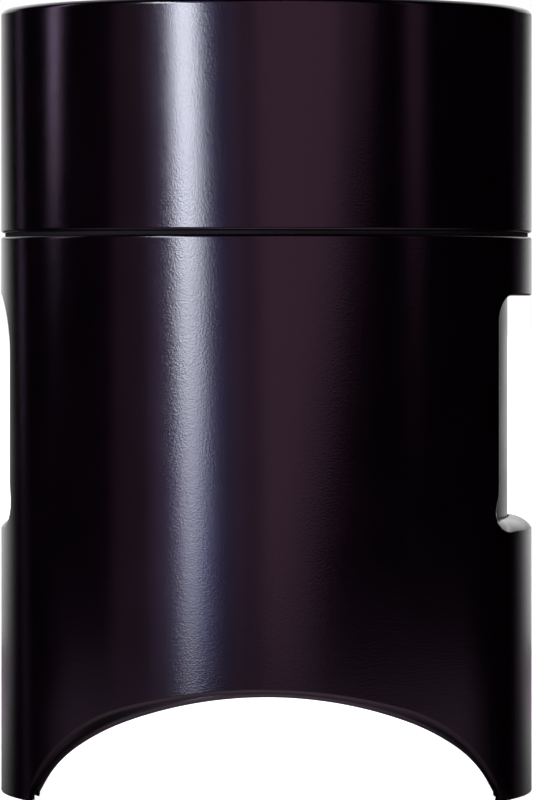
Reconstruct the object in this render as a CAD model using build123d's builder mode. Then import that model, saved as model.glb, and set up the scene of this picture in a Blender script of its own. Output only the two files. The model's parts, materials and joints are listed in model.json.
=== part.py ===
from build123d import *
import os
from math import cos, radians, sin

os.makedirs("parts", exist_ok=True)

# A compact sous vide circulator that stands in the pot on its own two feet.
# A dark gloss skirt carries it; the head, with a guard sleeve hanging below it,
# lifts straight up out of the skirt for cleaning.
# Millimetres, +Z up, origin on the floor under the centre, front towards -Y.

# ---- driving dimensions -------------------------------------------------
body_r = 50.0  # outside radius of the skirt and of the head
total_h = 147.0
skirt_wall = 4.25
skirt_top = 104.35
seam_gap = 0.70  # shut line between skirt and head
head_base = skirt_top + seam_gap
rim_round = 1.2
lip_round = 0.6
edge_round = 1.0  # outer edges of the windows and arches

foot_lift = 0.2  # the skirt stands on its pads, just clear of the floor
window_sill = 51.9
window_top = 93.3
wide_half, wide_corner = 25.26, 4.9  # window on the +X side
slim_half, slim_top_corner, slim_low_corner = 14.37, 10.7, 6.6  # window on the -X side

# Arches: crown height, then the radius of each bend and the angle it turns through.
skirt_crown, skirt_bends = 22.0, ((86.5, 16.9), (26.0, 51.6))
sleeve_crown, sleeve_bends = 20.9, ((67.5, 22.0), (40.0, 15.6), (23.0, 24.3))
arch_turn = -1.25  # the skirt's arches sit this many degrees off the sleeve's

sleeve_r, sleeve_wall = 45.4, 2.0
sleeve_foot = 0.3
sleeve_flange_r, sleeve_flange_h = 38.0, 3.0
slot_w, slot_h, slot_count, slot_pitch = 2.4, 30.0, 5, 6.0
wide_slots_from, slim_slots_from = 3.0, 168.0  # angle of the first slot, from +X

head_bore = 47.0
head_floor = 3.0
head_floor_r = 38.0
ledge_top, ledge_h, ledge_r = 140.0, 2.6, 42.5
bulkhead_r, bulkhead_h = 46.6, 4.0
bulkhead_z = head_base + head_floor
dry_floor = bulkhead_z + bulkhead_h

pump_floor, pump_floor_h = 22.0, 3.0
shaft_r, shaft_low, shaft_high = 2.0, 23.0, 133.5
running_fit = 0.05  # gap round anything that turns
clearance = 0.1  # gap round a screw or a pad
impeller_r, impeller_low, impeller_h = 20.5, 27.5, 9.5
motor_r, motor_h, motor_wall = 15.0, 22.0, 1.0
rotor_r, stator_bore, coil_low, coil_high = 9.0, 9.5, 118.0, 130.0

heater_r, heater_ring, heater_low, heater_high = 3.2, 32.0, 42.0, 116.0
heater_spread = 18.0  # half the angle between the two legs of a hairpin
probe_r, probe_ring = 2.0, 30.0
electrode_r, electrode_angles = 1.5, (200.0, 216.0)

board_t = 1.6
power_board_z = dry_floor + 5.0
power_top = power_board_z + board_t
board_screw_r = 1.1
post_spots = ((27.0, 62.0), (27.0, 118.0), (40.0, 40.0), (40.0, 140.0))

panel_r, panel_t = 46.8, 3.0
panel_seal_h = 0.8
panel_z = ledge_top + panel_seal_h
panel_top = panel_z + panel_t
control_board_r = 40.0
spacer_h = 3.15
control_top = panel_z - spacer_h
control_board_z = control_top - board_t
spacer_ring = 36.0

dial_r, dial_low, dial_high = 16.0, panel_top + 0.2, 146.7
button_r, button_proud, button_travel = 6.0, 0.8, 0.6
start_at, power_at = (27.0, -8.0), (-27.0, -8.0)
lens_w, lens_d, lens_y = 30.0, 11.5, -30.5

inlet_z, inlet_w, inlet_h, inlet_face, inlet_depth = 127.0, 20.0, 12.0, 48.9, 15.0
inlet_pin_r, inlet_pin_x = 1.2, 4.3

STAND = (Align.CENTER, Align.CENTER, Align.MIN)


# ---- helpers ------------------------------------------------------------
def polar(radius, angle):
    """Point on a circle about the Z axis, the angle in degrees from +X."""
    return radius * cos(radians(angle)), radius * sin(radians(angle))


def disc(radius, low, high, at=(0, 0), mode=Mode.ADD):
    """Upright cylinder between two heights."""
    with Locations((*at, low)):
        Cylinder(radius, high - low, align=STAND, mode=mode)


def block(size, low, at=(0, 0), turn=0, mode=Mode.ADD):
    """Upright box standing on height low, turned about its own Z axis."""
    with Locations(Location((*at, low), (0, 0, turn))):
        Box(*size, align=STAND, mode=mode)


def ring_points(radius, count, first=0.0):
    """Evenly spaced points on a circle, starting at the angle first."""
    return [polar(radius, first + 360 * k / count) for k in range(count)]


def arch_profile(plane, crown, bends):
    """Face of a pair of arches: a half outline of tangent bends, mirrored."""
    below = -2.0
    with BuildSketch(plane) as profile:
        with BuildLine():
            start, heading = Vector(0, crown), Vector(1, 0)
            for radius, turn in bends:
                bend = JernArc(start, heading, radius, -turn)
                start, heading = bend @ 1, bend % 1
            run = (below - start.Y) / heading.Y
            leg = Line(start, start + heading * run)
            Line(leg @ 1, (0, below))
            Line((0, below), (0, crown))
        make_face()
        mirror(about=Plane.YZ)
    return profile.sketch


def save(piece, label):
    """Label a finished sub-part and write it as its own STEP file."""
    piece.part.label = label
    export_step(piece.part, f"parts/{label}.step")


# ---- skirt: the part that stands in the pot -----------------------------
turned_plane = Plane(
    origin=(0, 0, 0),
    x_dir=(cos(radians(arch_turn)), sin(radians(arch_turn)), 0),
    z_dir=(sin(radians(arch_turn)), -cos(radians(arch_turn)), 0),
)
pad_ring, pad_len, pad_w, pad_h = body_r - skirt_wall / 2, 8.0, 2.2, 1.7
pad_angles = (-20, 20, 160, 200)

with BuildPart() as skirt_shell:
    disc(body_r, foot_lift, skirt_top)
    disc(body_r - skirt_wall, foot_lift, skirt_top, mode=Mode.SUBTRACT)
    outer_rings = edges().filter_by(GeomType.CIRCLE).filter_by(lambda e: e.radius > body_r - 1)
    fillet(outer_rings, lip_round)
    extrude(arch_profile(turned_plane, skirt_crown, skirt_bends), amount=body_r + 2,
            both=True, mode=Mode.SUBTRACT)
    with BuildSketch(Plane.YZ):
        with Locations((0, (window_sill + window_top) / 2)):
            Rectangle(2 * wide_half, window_top - window_sill)
        fillet(vertices(), wide_corner)
    extrude(amount=body_r + 2, mode=Mode.SUBTRACT)
    with BuildSketch(Plane.YZ):
        with Locations((0, (window_sill + window_top) / 2)):
            Rectangle(2 * slim_half, window_top - window_sill)
        fillet(vertices().group_by(Axis.Y)[-1], slim_top_corner)
        fillet(vertices().group_by(Axis.Y)[0], slim_low_corner)
    extrude(amount=-(body_r + 2), mode=Mode.SUBTRACT)
    window_edges = edges().filter_by(
        lambda e: window_sill - 1 < e.center().Z < window_top + 1
        and all(abs((e @ t).X ** 2 + (e @ t).Y ** 2 - body_r**2) < 0.1 for t in (0.1, 0.5, 0.9))
    )
    fillet(window_edges, edge_round)
    for angle in pad_angles:
        with BuildSketch(Plane.XY.offset(foot_lift)):
            with Locations(Location((*polar(pad_ring, angle), 0), (0, 0, angle + 90))):
                SlotOverall(pad_len + clearance, pad_w + clearance)
        extrude(amount=pad_h - foot_lift, mode=Mode.SUBTRACT)
save(skirt_shell, "skirt_shell")

with BuildPart() as foot_pads:
    for angle in pad_angles:
        with BuildSketch():
            with Locations(Location((*polar(pad_ring, angle), 0), (0, 0, angle + 90))):
                SlotOverall(pad_len, pad_w)
        extrude(amount=pad_h)
save(foot_pads, "foot_pads")

seam_ring_out, seam_ring_in = body_r - 0.75, body_r - skirt_wall + 0.45
with BuildPart() as seam_ring:
    disc(seam_ring_out, skirt_top, head_base - running_fit)
    disc(seam_ring_in, skirt_top, head_base, mode=Mode.SUBTRACT)
save(seam_ring, "seam_ring")

# ---- head: outer casing and guard sleeve --------------------------------
panel_screw_ring, panel_screw_r = 44.7, 1.25
clamp_ring, clamp_r, clamp_head_r = 41.0, 1.5, 2.6
seal_in, seal_out, seal_deep = 43.5, 45.1, 1.2

with BuildPart() as head_shell:
    disc(body_r, head_base, total_h)
    disc(head_floor_r, head_base, bulkhead_z, mode=Mode.SUBTRACT)
    disc(head_bore, bulkhead_z, ledge_top - ledge_h, mode=Mode.SUBTRACT)
    disc(ledge_r, ledge_top - ledge_h, ledge_top, mode=Mode.SUBTRACT)
    disc(head_bore, ledge_top, total_h, mode=Mode.SUBTRACT)
    outer_rings = edges().filter_by(GeomType.CIRCLE).filter_by(lambda e: e.radius > body_r - 1)
    fillet(outer_rings.sort_by(Axis.Z)[0], lip_round)
    fillet(outer_rings.sort_by(Axis.Z)[-1], rim_round)
    fillet(edges().group_by(Axis.Z)[-1].sort_by(SortBy.RADIUS)[0], lip_round)
    with BuildSketch(Plane.XY.offset(bulkhead_z)):
        Circle(seal_out)
        Circle(seal_in, mode=Mode.SUBTRACT)
    extrude(amount=-seal_deep, mode=Mode.SUBTRACT)
    for at in ring_points(clamp_ring, 6, 30):
        disc(clamp_r + clearance, head_base, bulkhead_z, at, mode=Mode.SUBTRACT)
    for at in ring_points(panel_screw_ring, 4, 45):
        disc(panel_screw_r + clearance, ledge_top - ledge_h, ledge_top, at, mode=Mode.SUBTRACT)
    with Locations((0, head_bore, inlet_z)):
        Box(inlet_w + 4 * clearance, 4 * (body_r - head_bore), inlet_h + 4 * clearance,
            mode=Mode.SUBTRACT)
save(head_shell, "head_shell")

with BuildPart() as guard_sleeve:
    disc(sleeve_r, sleeve_foot, head_base)
    disc(sleeve_r - sleeve_wall, sleeve_foot, head_base - sleeve_flange_h, mode=Mode.SUBTRACT)
    disc(sleeve_flange_r, head_base - sleeve_flange_h, head_base, mode=Mode.SUBTRACT)
    extrude(arch_profile(Plane.XZ, sleeve_crown, sleeve_bends), amount=sleeve_r + 2,
            both=True, mode=Mode.SUBTRACT)
    slot_z = (window_sill + window_top) / 2
    for first in (wide_slots_from, slim_slots_from):
        for k in range(slot_count):
            angle = first + k * slot_pitch
            with Locations(Location((*polar(sleeve_r, angle), slot_z), (0, 0, angle))):
                Box(4 * sleeve_wall, slot_w, slot_h, mode=Mode.SUBTRACT)
    for at in ring_points(clamp_ring, 6, 30):
        disc(clamp_r, head_base - sleeve_flange_h, head_base, at, mode=Mode.SUBTRACT)
save(guard_sleeve, "guard_sleeve")

bush_r, bush_collar, bush_lip = 4.0, 1.5, 1.0
strainer_ring, strainer_slots, strainer_len, strainer_w = 17.5, 16, 14.0, 3.0
with BuildPart() as pump_base:
    disc(sleeve_r - sleeve_wall, pump_floor, pump_floor + pump_floor_h)
    disc(bush_r, pump_floor, pump_floor + pump_floor_h, mode=Mode.SUBTRACT)
    with BuildSketch(Plane.XY.offset(pump_floor)):
        with PolarLocations(strainer_ring, strainer_slots):
            SlotOverall(strainer_len, strainer_w)
    extrude(amount=pump_floor_h, mode=Mode.SUBTRACT)
save(pump_base, "pump_base")

pump_floor_top = pump_floor + pump_floor_h
with BuildPart() as shaft_bush:
    disc(bush_r, pump_floor, pump_floor_top)
    disc(bush_r + bush_collar, pump_floor_top, pump_floor_top + bush_lip)
    disc(shaft_r + running_fit, pump_floor, pump_floor_top + bush_lip, mode=Mode.SUBTRACT)
save(shaft_bush, "shaft_bush")

# ---- bulkhead between the wet sleeve and the dry head -------------------
heater_legs = [polar(heater_ring, centre + side * heater_spread)
               for centre in (30, 150, 270) for side in (-1, 1)]
grommet_r, grommet_lip = heater_r + 1.0, 0.8
seal_r = 6.0
motor_screw_ring, motor_screw_r, motor_screw_deep = 17.8, 1.25, 2.5

with BuildPart() as bulkhead:
    disc(bulkhead_r, bulkhead_z, dry_floor)
    disc(seal_r, bulkhead_z, dry_floor, mode=Mode.SUBTRACT)
    for at in heater_legs:
        disc(grommet_r, bulkhead_z, dry_floor, at, mode=Mode.SUBTRACT)
    disc(probe_r, bulkhead_z, dry_floor, polar(probe_ring, 90), mode=Mode.SUBTRACT)
    for angle in electrode_angles:
        disc(electrode_r, bulkhead_z, dry_floor, polar(probe_ring, angle), mode=Mode.SUBTRACT)
    for at in ring_points(clamp_ring, 6, 30):
        disc(clamp_r + clearance, bulkhead_z, dry_floor, at, mode=Mode.SUBTRACT)
    for at in ring_points(motor_screw_ring, 4):
        disc(motor_screw_r, dry_floor - motor_screw_deep, dry_floor, at, mode=Mode.SUBTRACT)
save(bulkhead, "bulkhead")

with BuildPart() as bulkhead_seal:
    disc(seal_out - clearance, bulkhead_z - seal_deep, bulkhead_z)
    disc(seal_in + clearance, bulkhead_z - seal_deep, bulkhead_z, mode=Mode.SUBTRACT)
save(bulkhead_seal, "bulkhead_seal")

clamp_head_h, hex_r, hex_deep = 2.0, 1.2, 1.2
with BuildPart() as bulkhead_screws:
    for at in ring_points(clamp_ring, 6, 30):
        disc(clamp_r, head_base - sleeve_flange_h + 0.5, dry_floor, at)
        disc(clamp_head_r, dry_floor, dry_floor + clamp_head_h, at)
        with BuildSketch(Plane.XY.offset(dry_floor + clamp_head_h)):
            with Locations(at):
                RegularPolygon(hex_r, 6)
        extrude(amount=-hex_deep, mode=Mode.SUBTRACT)
save(bulkhead_screws, "bulkhead_screws")

with BuildPart() as heater_grommets:
    for at in heater_legs:
        disc(grommet_r, bulkhead_z, dry_floor, at)
        disc(grommet_r + grommet_lip, dry_floor, dry_floor + grommet_lip, at)
        disc(heater_r, bulkhead_z, dry_floor + grommet_lip, at, mode=Mode.SUBTRACT)
save(heater_grommets, "heater_grommets")

with BuildPart() as shaft_seal:
    disc(seal_r, bulkhead_z, dry_floor)
    disc(shaft_r + running_fit, bulkhead_z, dry_floor, mode=Mode.SUBTRACT)
save(shaft_seal, "shaft_seal")

# ---- heater, probe and level electrodes in the wet sleeve ---------------
with BuildPart() as heater_elements:
    for (ax, ay), (bx, by) in zip(heater_legs[::2], heater_legs[1::2]):
        bend_r = heater_ring * sin(radians(heater_spread))
        bend_z = heater_low + heater_r + bend_r
        middle = ((ax + bx) / 2, (ay + by) / 2, heater_low + heater_r)
        with BuildLine():
            Line((ax, ay, heater_high), (ax, ay, bend_z))
            ThreePointArc((ax, ay, bend_z), middle, (bx, by, bend_z))
            Line((bx, by, bend_z), (bx, by, heater_high))
        with BuildSketch(Plane(origin=(ax, ay, heater_high), z_dir=(0, 0, -1))):
            Circle(heater_r)
        sweep()
save(heater_elements, "heater_elements")

probe_low, stub_h = 40.0, 3.0  # stubs stand above the bulkhead for their wires
with BuildPart() as temperature_probe:
    disc(probe_r, probe_low, dry_floor + stub_h, polar(probe_ring, 90))
    fillet(edges().group_by(Axis.Z)[0], probe_r - 0.1)
save(temperature_probe, "temperature_probe")

with BuildPart() as level_electrodes:
    for angle in electrode_angles:
        disc(electrode_r, window_sill, dry_floor + stub_h, polar(probe_ring, angle))
save(level_electrodes, "level_electrodes")

# ---- motor on the bulkhead ----------------------------------------------
bearing_r, bearing_h = 5.0, 3.0
flange_r, flange_h = 20.6, 2.0
motor_top = dry_floor + motor_h

with BuildPart() as motor_can:
    disc(flange_r, dry_floor, dry_floor + flange_h)
    disc(motor_r, dry_floor, motor_top)
    disc(motor_r - motor_wall, dry_floor + bearing_h, motor_top, mode=Mode.SUBTRACT)
    disc(bearing_r, dry_floor, dry_floor + bearing_h, mode=Mode.SUBTRACT)
    for at in ring_points(motor_screw_ring, 4):
        disc(motor_screw_r + clearance, dry_floor, dry_floor + flange_h, at, mode=Mode.SUBTRACT)
save(motor_can, "motor_can")

with BuildPart() as motor_end_cap:
    disc(motor_r - motor_wall, motor_top - bearing_h, motor_top)
    disc(bearing_r, motor_top - bearing_h, motor_top, mode=Mode.SUBTRACT)
save(motor_end_cap, "motor_end_cap")

with BuildPart() as motor_bearings:
    for low in (dry_floor, motor_top - bearing_h):
        disc(bearing_r, low, low + bearing_h)
        disc(shaft_r + running_fit, low, low + bearing_h, mode=Mode.SUBTRACT)
save(motor_bearings, "motor_bearings")

with BuildPart() as stator:
    disc(motor_r - motor_wall, coil_low, coil_high)
    disc(stator_bore, coil_low, coil_high, mode=Mode.SUBTRACT)
save(stator, "stator")

motor_screw_head_r, motor_screw_head_h = 2.3, 1.8
flange_top = dry_floor + flange_h
with BuildPart() as motor_screws:
    for at in ring_points(motor_screw_ring, 4):
        disc(motor_screw_r, dry_floor - motor_screw_deep, flange_top, at)
        disc(motor_screw_head_r, flange_top, flange_top + motor_screw_head_h, at)
save(motor_screws, "motor_screws")

with BuildPart() as rotor:
    disc(rotor_r, coil_low, coil_high)
    disc(shaft_r, coil_low, coil_high, mode=Mode.SUBTRACT)
save(rotor, "rotor")

with BuildPart() as pump_shaft:
    disc(shaft_r, shaft_low, shaft_high)
    chamfer(edges().group_by(Axis.Z)[0], 0.4)
save(pump_shaft, "pump_shaft")

blade_count, blade_ring, blade_len, blade_t, blade_rake = 6, 12.2, 14.5, 1.3, 24.0
shroud_h, hub_r = 1.2, 5.0
blade_h = impeller_h - shroud_h
hub_top = impeller_low + impeller_h + 3.0
with BuildPart() as impeller:
    disc(impeller_r, impeller_low + blade_h, impeller_low + impeller_h)
    disc(hub_r, impeller_low, hub_top)
    for k in range(blade_count):
        angle = 360 * k / blade_count
        block((blade_len, blade_t, blade_h), impeller_low, polar(blade_ring, angle),
              angle + blade_rake)
    disc(shaft_r, impeller_low, hub_top, mode=Mode.SUBTRACT)
save(impeller, "impeller")

# ---- power electronics in the dry head ----------------------------------
power_board_r, power_board_hole, power_board_front = 44.0, 22.0, 6.0
with BuildPart() as power_board:
    with BuildSketch(Plane.XY.offset(power_board_z)):
        Circle(power_board_r)
        Circle(power_board_hole, mode=Mode.SUBTRACT)
        with Locations((0, power_board_front - power_board_r)):
            Rectangle(2 * power_board_r, 2 * power_board_r, mode=Mode.SUBTRACT)
    extrude(amount=board_t)
    for spot in post_spots:
        disc(board_screw_r, power_board_z, power_top, polar(*spot), mode=Mode.SUBTRACT)
save(power_board, "power_board")

post_r = 2.5
with BuildPart() as power_board_posts:
    for spot in post_spots:
        disc(post_r, dry_floor, power_board_z, polar(*spot))
        disc(board_screw_r, power_board_z, power_top + 0.8, polar(*spot))
save(power_board_posts, "power_board_posts")

can_r, can_h, can_ring = 6.0, 14.0, 34.5
with BuildPart() as power_capacitors:
    for angle in (55, 125):
        disc(can_r, power_top, power_top + can_h, polar(can_ring, angle))
    fillet(edges().group_by(Axis.Z)[-1], 0.8)
save(power_capacitors, "power_capacitors")

core_at, core_angle = polar(33, 25), 25
core_size, bobbin_size = (11, 17, 13), (15, 14, 9)
with BuildPart() as power_transformer:
    block(bobbin_size, power_top + 2, core_at, core_angle)
    block(core_size, power_top, core_at, core_angle)
save(power_transformer, "power_transformer")

relay_at, relay_angle, relay_size = polar(33.5, 155), 155, (11, 13, 11)
with BuildPart() as heater_relay:
    block(relay_size, power_top, relay_at, relay_angle)
    fillet(edges().filter_by(Axis.Z), 0.8)
save(heater_relay, "heater_relay")

sink_w, sink_t, sink_h, sink_y = 16.0, 2.0, 13.0, 25.8
fin_t, fin_len, fin_pitch, fin_count = 1.4, 5.0, 3.2, 5
with BuildPart() as triac_heatsink:
    block((sink_w, sink_t, sink_h), power_top, (0, sink_y))
    for k in range(fin_count):
        across = (k - (fin_count - 1) / 2) * fin_pitch
        block((fin_t, fin_len, sink_h), power_top, (across, sink_y + (sink_t + fin_len) / 2 - 0.1))
save(triac_heatsink, "triac_heatsink")

# ---- mains inlet at the back of the head --------------------------------
inlet_plane = Plane(origin=(0, inlet_face, inlet_z), x_dir=(1, 0, 0), z_dir=(0, 1, 0))
inlet_flange, inlet_flange_y, inlet_flange_t = 2.0, 44.0, 2.0
socket_w, socket_h, socket_deep, pin_inset = 15.6, 8.0, 10.0, 1.6
with BuildPart() as mains_inlet:
    with Locations((0, inlet_face - inlet_depth / 2, inlet_z)):
        Box(inlet_w, inlet_depth, inlet_h)
    fillet(edges().filter_by(Axis.Y), 1.5)
    with Locations((0, inlet_flange_y, inlet_z)):
        Box(inlet_w + 2 * inlet_flange, inlet_flange_t, inlet_h + 2 * inlet_flange)
    with BuildSketch(inlet_plane):
        SlotOverall(socket_w, socket_h)
    extrude(amount=-socket_deep, mode=Mode.SUBTRACT)
    with BuildSketch(inlet_plane.offset(-socket_deep)):
        with Locations((-inlet_pin_x, 0), (inlet_pin_x, 0)):
            Circle(inlet_pin_r)
    extrude(amount=-inlet_depth, mode=Mode.SUBTRACT)
save(mains_inlet, "mains_inlet")

with BuildPart() as inlet_pins:
    with BuildSketch(inlet_plane.offset(-pin_inset)):
        with Locations((-inlet_pin_x, 0), (inlet_pin_x, 0)):
            Circle(inlet_pin_r)
    extrude(amount=-(inlet_depth + 1 - pin_inset))
save(inlet_pins, "inlet_pins")

# ---- control panel on top, sunk below the rim ---------------------------
shaft_hole_r, encoder_shaft_r = 3.6, 3.0
lens_t, lens_gap, lens_land = 1.0, 0.1, 1.5
screw_in_panel = 1.8
with BuildPart() as panel_seal:
    disc(panel_r, ledge_top, panel_z)
    disc(ledge_r + 0.3, ledge_top, panel_z, mode=Mode.SUBTRACT)
    for at in ring_points(panel_screw_ring, 4, 45):
        disc(panel_screw_r, ledge_top, panel_z, at, mode=Mode.SUBTRACT)
save(panel_seal, "panel_seal")

with BuildPart() as control_panel:
    disc(panel_r, panel_z, panel_top)
    fillet(edges().group_by(Axis.Z)[-1], 0.5)
    disc(shaft_hole_r, panel_z, panel_top, mode=Mode.SUBTRACT)
    for at in (start_at, power_at):
        disc(button_r + 0.2, panel_z, panel_top, at, mode=Mode.SUBTRACT)
    with BuildSketch(Plane.XY.offset(panel_top)):
        with Locations((0, lens_y)):
            RectangleRounded(lens_w + 2 * lens_gap, lens_d + 2 * lens_gap, 2)
    extrude(amount=-lens_t, mode=Mode.SUBTRACT)
    with BuildSketch(Plane.XY.offset(panel_top)):
        with Locations((0, lens_y)):
            RectangleRounded(lens_w - 2 * lens_land, lens_d - 2 * lens_land, 1)
    extrude(amount=-panel_t, mode=Mode.SUBTRACT)
    for at in ring_points(panel_screw_ring, 4, 45):
        disc(panel_screw_r, panel_z, panel_z + screw_in_panel, at, mode=Mode.SUBTRACT)
save(control_panel, "control_panel")

ledge_low = ledge_top - ledge_h
with BuildPart() as panel_screws:
    for at in ring_points(panel_screw_ring, 4, 45):
        disc(panel_screw_r, ledge_low, panel_z + screw_in_panel, at)
        disc(panel_screw_r + 0.85, ledge_low - screw_in_panel, ledge_low, at)
save(panel_screws, "panel_screws")

with BuildPart() as display_lens:
    with BuildSketch(Plane.XY.offset(panel_top - lens_t)):
        with Locations((0, lens_y)):
            RectangleRounded(lens_w, lens_d, 2)
    extrude(amount=lens_t)
save(display_lens, "display_lens")

module_h = spacer_h - running_fit
with BuildPart() as display_module:
    block((lens_w - 1, lens_d, module_h), control_top, (0, lens_y))
save(display_module, "display_module")

with BuildPart() as control_board:
    disc(control_board_r, control_board_z, control_top)
    for at in ring_points(spacer_ring, 4, 45):
        disc(board_screw_r, control_board_z, control_top, at, mode=Mode.SUBTRACT)
save(control_board, "control_board")

spacer_top = panel_z - 1
with BuildPart() as board_spacers:
    for at in ring_points(spacer_ring, 4, 45):
        disc(post_r, control_top, panel_z, at)
        disc(board_screw_r, control_top, spacer_top, at, mode=Mode.SUBTRACT)
save(board_spacers, "board_spacers")

with BuildPart() as control_board_screws:
    for at in ring_points(spacer_ring, 4, 45):
        disc(board_screw_r, control_board_z, spacer_top, at)
        disc(2 * board_screw_r, control_board_z - 1.4, control_board_z, at)
save(control_board_screws, "control_board_screws")

switch_w, switch_h = 6.0, 1.6
with BuildPart() as button_switches:
    for at in (start_at, power_at):
        block((switch_w, switch_w, switch_h), control_top, at)
save(button_switches, "button_switches")

encoder_w = 13.0
with BuildPart() as encoder_body:
    block((encoder_w, encoder_w, module_h), control_top)
    disc(encoder_shaft_r + running_fit, control_top + 0.5, panel_z, mode=Mode.SUBTRACT)
save(encoder_body, "encoder_body")

dial_edge, notch_count, notch_r, notch_ring = 0.8, 36, 0.6, dial_r + 0.25
dimple_ring, dimple_ball, dimple_lift = 10.5, 6.0, 5.2
with BuildPart() as encoder_shaft:
    disc(encoder_shaft_r, control_top + 0.6, dial_high - dial_edge)
save(encoder_shaft, "encoder_shaft")

with BuildPart() as setting_dial:
    disc(dial_r, dial_low, dial_high)
    fillet(edges().group_by(Axis.Z)[-1], dial_edge)
    disc(encoder_shaft_r, dial_low, dial_high - dial_edge, mode=Mode.SUBTRACT)
    for at in ring_points(notch_ring, notch_count):
        disc(notch_r, dial_low, dial_high, at, mode=Mode.SUBTRACT)
    with Locations((*polar(dimple_ring, 90), dial_high + dimple_lift)):
        Sphere(dimple_ball, mode=Mode.SUBTRACT)
save(setting_dial, "setting_dial")

switch_gap, button_collar = 0.05, 1.2
button_low = control_top + switch_h + switch_gap + button_travel
for label, at in (("start_button", start_at), ("power_button", power_at)):
    with BuildPart() as button:
        disc(button_r, button_low, panel_top + button_proud, at)
        fillet(edges().group_by(Axis.Z)[-1], 0.5)
        disc(button_r + button_collar, button_low, panel_z - clearance, at)
    save(button, label)
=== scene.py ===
"""A compact sous vide circulator: a dark gloss drum standing on two feet."""
import json
from math import asin, atan2, ceil, cos, hypot, pi, radians, sin, tan

import bpy
from mathutils import Matrix, Vector
from mathutils.geometry import delaunay_2d_cdt
from mathutils.kdtree import KDTree


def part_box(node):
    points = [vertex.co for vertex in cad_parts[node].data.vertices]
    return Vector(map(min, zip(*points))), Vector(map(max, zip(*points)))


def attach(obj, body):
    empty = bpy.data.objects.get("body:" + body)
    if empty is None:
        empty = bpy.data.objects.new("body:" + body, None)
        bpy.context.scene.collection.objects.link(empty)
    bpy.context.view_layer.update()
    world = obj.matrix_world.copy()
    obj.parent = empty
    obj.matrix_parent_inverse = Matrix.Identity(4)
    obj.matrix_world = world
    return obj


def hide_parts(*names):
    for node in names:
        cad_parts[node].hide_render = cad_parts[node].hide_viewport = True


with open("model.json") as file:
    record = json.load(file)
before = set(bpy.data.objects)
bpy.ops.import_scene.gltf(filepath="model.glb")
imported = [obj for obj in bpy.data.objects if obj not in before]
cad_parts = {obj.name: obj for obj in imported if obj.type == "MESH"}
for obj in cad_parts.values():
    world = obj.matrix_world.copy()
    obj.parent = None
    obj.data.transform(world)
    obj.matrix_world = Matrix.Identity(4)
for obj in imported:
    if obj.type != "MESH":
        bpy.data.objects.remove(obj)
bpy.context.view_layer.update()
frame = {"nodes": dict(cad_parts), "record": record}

# ---- sizes, in metres, from the frame where it has them --------------------
MM = 0.001
DOWN, UP = Vector((0, 0, -1)), Vector((0, 0, 1))
body_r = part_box("skirt_shell")[1].x
skirt_foot, skirt_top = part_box("skirt_shell")[0].z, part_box("skirt_shell")[1].z
head_base, total_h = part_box("head_shell")[0].z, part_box("head_shell")[1].z
sleeve_r, sleeve_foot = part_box("guard_sleeve")[1].x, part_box("guard_sleeve")[0].z
sleeve_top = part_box("guard_sleeve")[1].z
bulkhead_low, ledge_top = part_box("bulkhead")[0].z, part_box("panel_seal")[0].z
skirt_bore, sleeve_bore, head_bore = 45.75 * MM, 43.4 * MM, 47.0 * MM
head_floor_r, ledge_r, ledge_h = 38.0 * MM, 42.5 * MM, 2.6 * MM

window_sill, window_top = 51.9 * MM, 93.3 * MM
wide_half, wide_corner = 25.26 * MM, 4.9 * MM
slim_half, slim_top_corner, slim_low_corner = 14.37 * MM, 10.7 * MM, 6.6 * MM
slot_w, slot_h, slot_count, slot_pitch = 2.4 * MM, 30.0 * MM, 5, 6.0
slots_from = (3.0, 168.0)
slot_corner, slot_spacing = 0.6 * MM, 2 * MM

# Arches: crown height, then radius and turn in degrees of each bend.
skirt_crown, skirt_bends = 22.0 * MM, ((86.5 * MM, 16.9), (26.0 * MM, 51.6))
sleeve_crown, sleeve_bends = 20.9 * MM, ((67.5 * MM, 22.0), (40.0 * MM, 15.6), (23.0 * MM, 24.3))
arch_turn = -1.25
sleeve_border = 0.95 * MM  # how far the skirt's inner arch stands outside the sleeve's

lip_round, rim_round, rim_inner_round = 0.6 * MM, 1.2 * MM, 0.6 * MM
window_round, sill_round, arch_round, foot_round = 0.5 * MM, 4.6 * MM, 1.2 * MM, 0.3 * MM
sleeve_arch_round, slot_round, inner_round = 1.0 * MM, 0.4 * MM, 0.3 * MM
arch_turned = 0.45  # the arches' roundings end in a crisp edge, less than half way round
sill_start = 0.35  # the sills fall away from level and meet the wall's face in a crisp edge
foot_corner, foot_blend = 0.5 * MM, 3 * MM
window_inner_round = 0.1 * MM
no_area = 1e-14
wall_spacing = 2.5 * MM  # between the points inside a wall's faces
row_pitch, nearest_pitch = 0.87, 0.65  # of wall_spacing: between rows, and to any other point
same_point = 1e-6
edge_steps, inner_steps, arch_steps, wide_round_steps = 5, 3, 6, 8
fewest_in_corner = 4

dial_low, dial_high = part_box("setting_dial")[0].z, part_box("setting_dial")[1].z
dial_r, dial_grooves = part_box("setting_dial")[1].x, 36
sides_per_groove, button_sides = 10, 96
profile_steps = 6
crease, glass_crease = 38, 40  # degrees between faces from which an edge is sharp
panel_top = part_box("control_panel")[1].z
inlet_low, inlet_high = 120.8 * MM, 133.2 * MM
inlet_half, inlet_corner = 10.2 * MM, 1.6 * MM


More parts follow.
